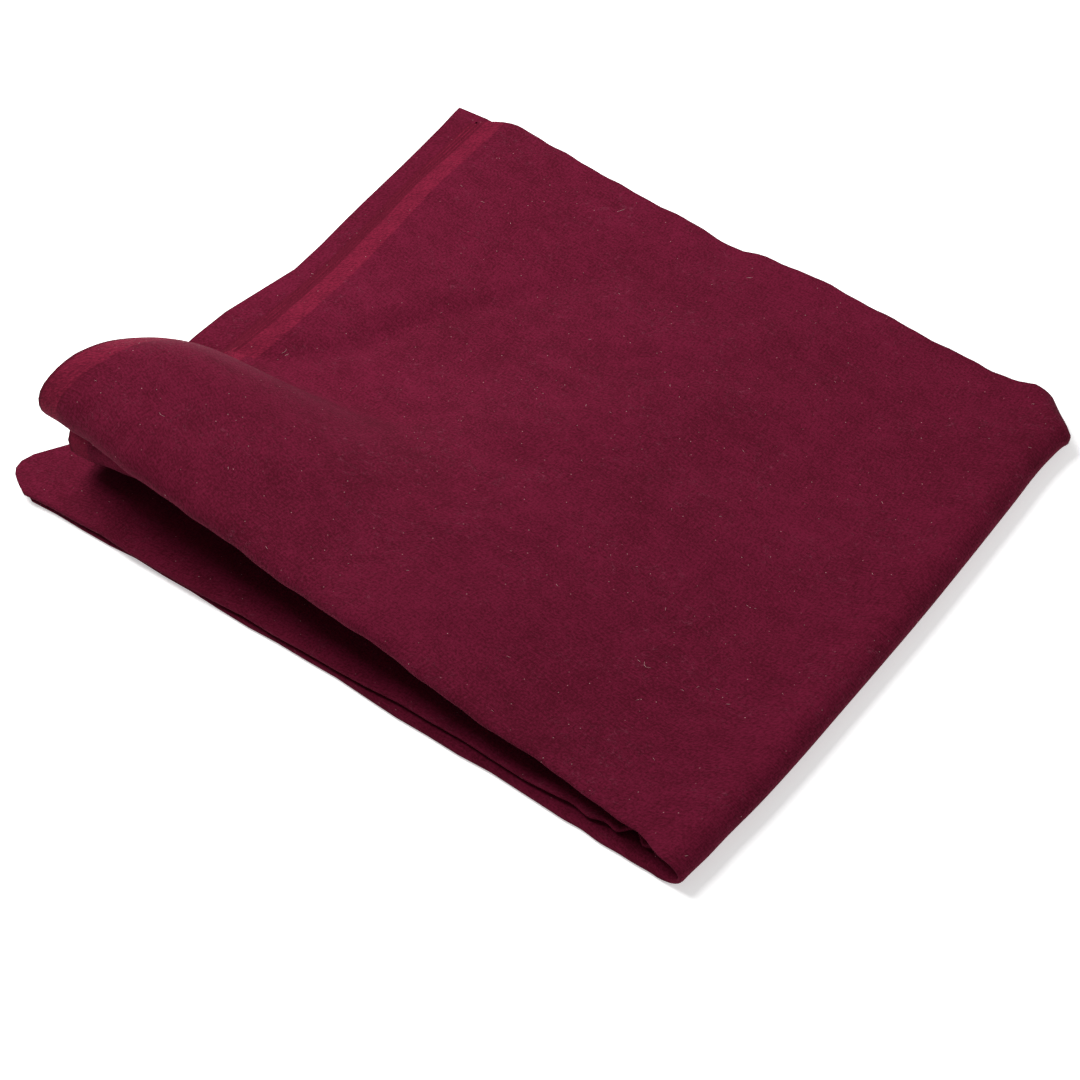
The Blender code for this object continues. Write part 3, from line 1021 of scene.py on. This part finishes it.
class TURBANCLOTH_OT_set_stage(Operator):
    """Sets the floor, the lights and the camera"""

    bl_idname = "turbancloth.set_stage"
    bl_label = "Set the stage"

    def execute(self, context):
        scene = context.scene
        sizes = scene.stage_sizes
        shape = bmesh.new()
        bmesh.ops.create_grid(shape, x_segments=1, y_segments=1, size=FLOOR_HALF)
        mesh = bpy.data.meshes.new("floor")
        shape.to_mesh(mesh)
        shape.free()
        floor = add_object("floor", mesh)
        floor.data.materials.append(floor_paper(scene.cloth_colours))
        self.add_light("key", KEY_PLACE, KEY_SIZE, sizes.key_power)
        self.add_light("fill", FILL_PLACE, FILL_SIZE, sizes.fill_power)
        world = bpy.data.worlds.new("studio")
        world.use_nodes = True
        world.node_tree.nodes["Background"].inputs["Color"].default_value = (1, 1, 1, 1)
        world.node_tree.nodes["Background"].inputs["Strength"].default_value = sizes.sky
        scene.world = world
        scene.view_settings.view_transform = "Standard"
        self.add_camera(scene, sizes)
        return {"FINISHED"}

    @staticmethod
    def add_light(name, place, size, power):
        """A square soft light that faces the packet."""
        light = bpy.data.lights.new(name, "AREA")
        light.size = size
        light.energy = power
        lamp = add_object(name, light)
        lamp.location = place
        lamp.rotation_euler = (-Vector(place)).to_track_quat("-Z", "Y").to_euler()

    @staticmethod
    def add_camera(scene, sizes):
        """The camera, which looks at the middle of the view from the photo's side and height."""
        camera = bpy.data.cameras.new("camera")
        camera.sensor_width = SENSOR_WIDTH
        camera.lens = sizes.focal_length
        camera.clip_end = CLIP_END
        thing = add_object("camera", camera)
        level = math.cos(sizes.elevation)
        back = Vector((
            math.sin(sizes.azimuth) * level,
            -math.cos(sizes.azimuth) * level,
            math.sin(sizes.elevation),
        ))
        thing.location = Vector(LOOK_AT) + back * sizes.distance
        thing.rotation_euler = (math.pi / 2 - sizes.elevation, 0, sizes.azimuth)
        scene.camera = thing


class TURBANCLOTH_PT_panel(Panel):
    """The sidebar panel"""

    bl_label = "Turban cloth"
    bl_idname = "TURBANCLOTH_PT_panel"
    bl_space_type = "VIEW_3D"
    bl_region_type = "UI"
    bl_category = "Turban cloth"

    def draw(self, context):
        for name in PROPERTY_GROUPS:
            group = getattr(context.scene, name)
            box = self.layout.box()
            for key in group.__annotations__:
                box.prop(group, key)
        for operator in OPERATORS:
            self.layout.operator(operator.bl_idname)


PROPERTY_GROUPS = {
    "cloth_sizes": ClothSizes,
    "cloth_colours": ClothColours,
    "lint_sizes": LintSizes,
    "stage_sizes": StageSizes,
}
OPERATORS = (TURBANCLOTH_OT_set_stage, TURBANCLOTH_OT_build_cloth, TURBANCLOTH_OT_strew_lint)


def register():
    """Registers the classes and hangs their values on the scene."""
    for group in (*PROPERTY_GROUPS.values(), *OPERATORS, TURBANCLOTH_PT_panel):
        bpy.utils.register_class(group)
    for name, group in PROPERTY_GROUPS.items():
        setattr(bpy.types.Scene, name, PointerProperty(type=group))


def unregister():
    """Takes the classes and their values away again."""
    for name in PROPERTY_GROUPS:
        delattr(bpy.types.Scene, name)
    for group in reversed((*PROPERTY_GROUPS.values(), *OPERATORS, TURBANCLOTH_PT_panel)):
        bpy.utils.unregister_class(group)


def main():
    """Builds all of it."""
    register()
    bpy.ops.turbancloth.set_stage()
    bpy.ops.turbancloth.build_cloth()
    bpy.ops.turbancloth.strew_lint()


if __name__ == "__main__":
    main()
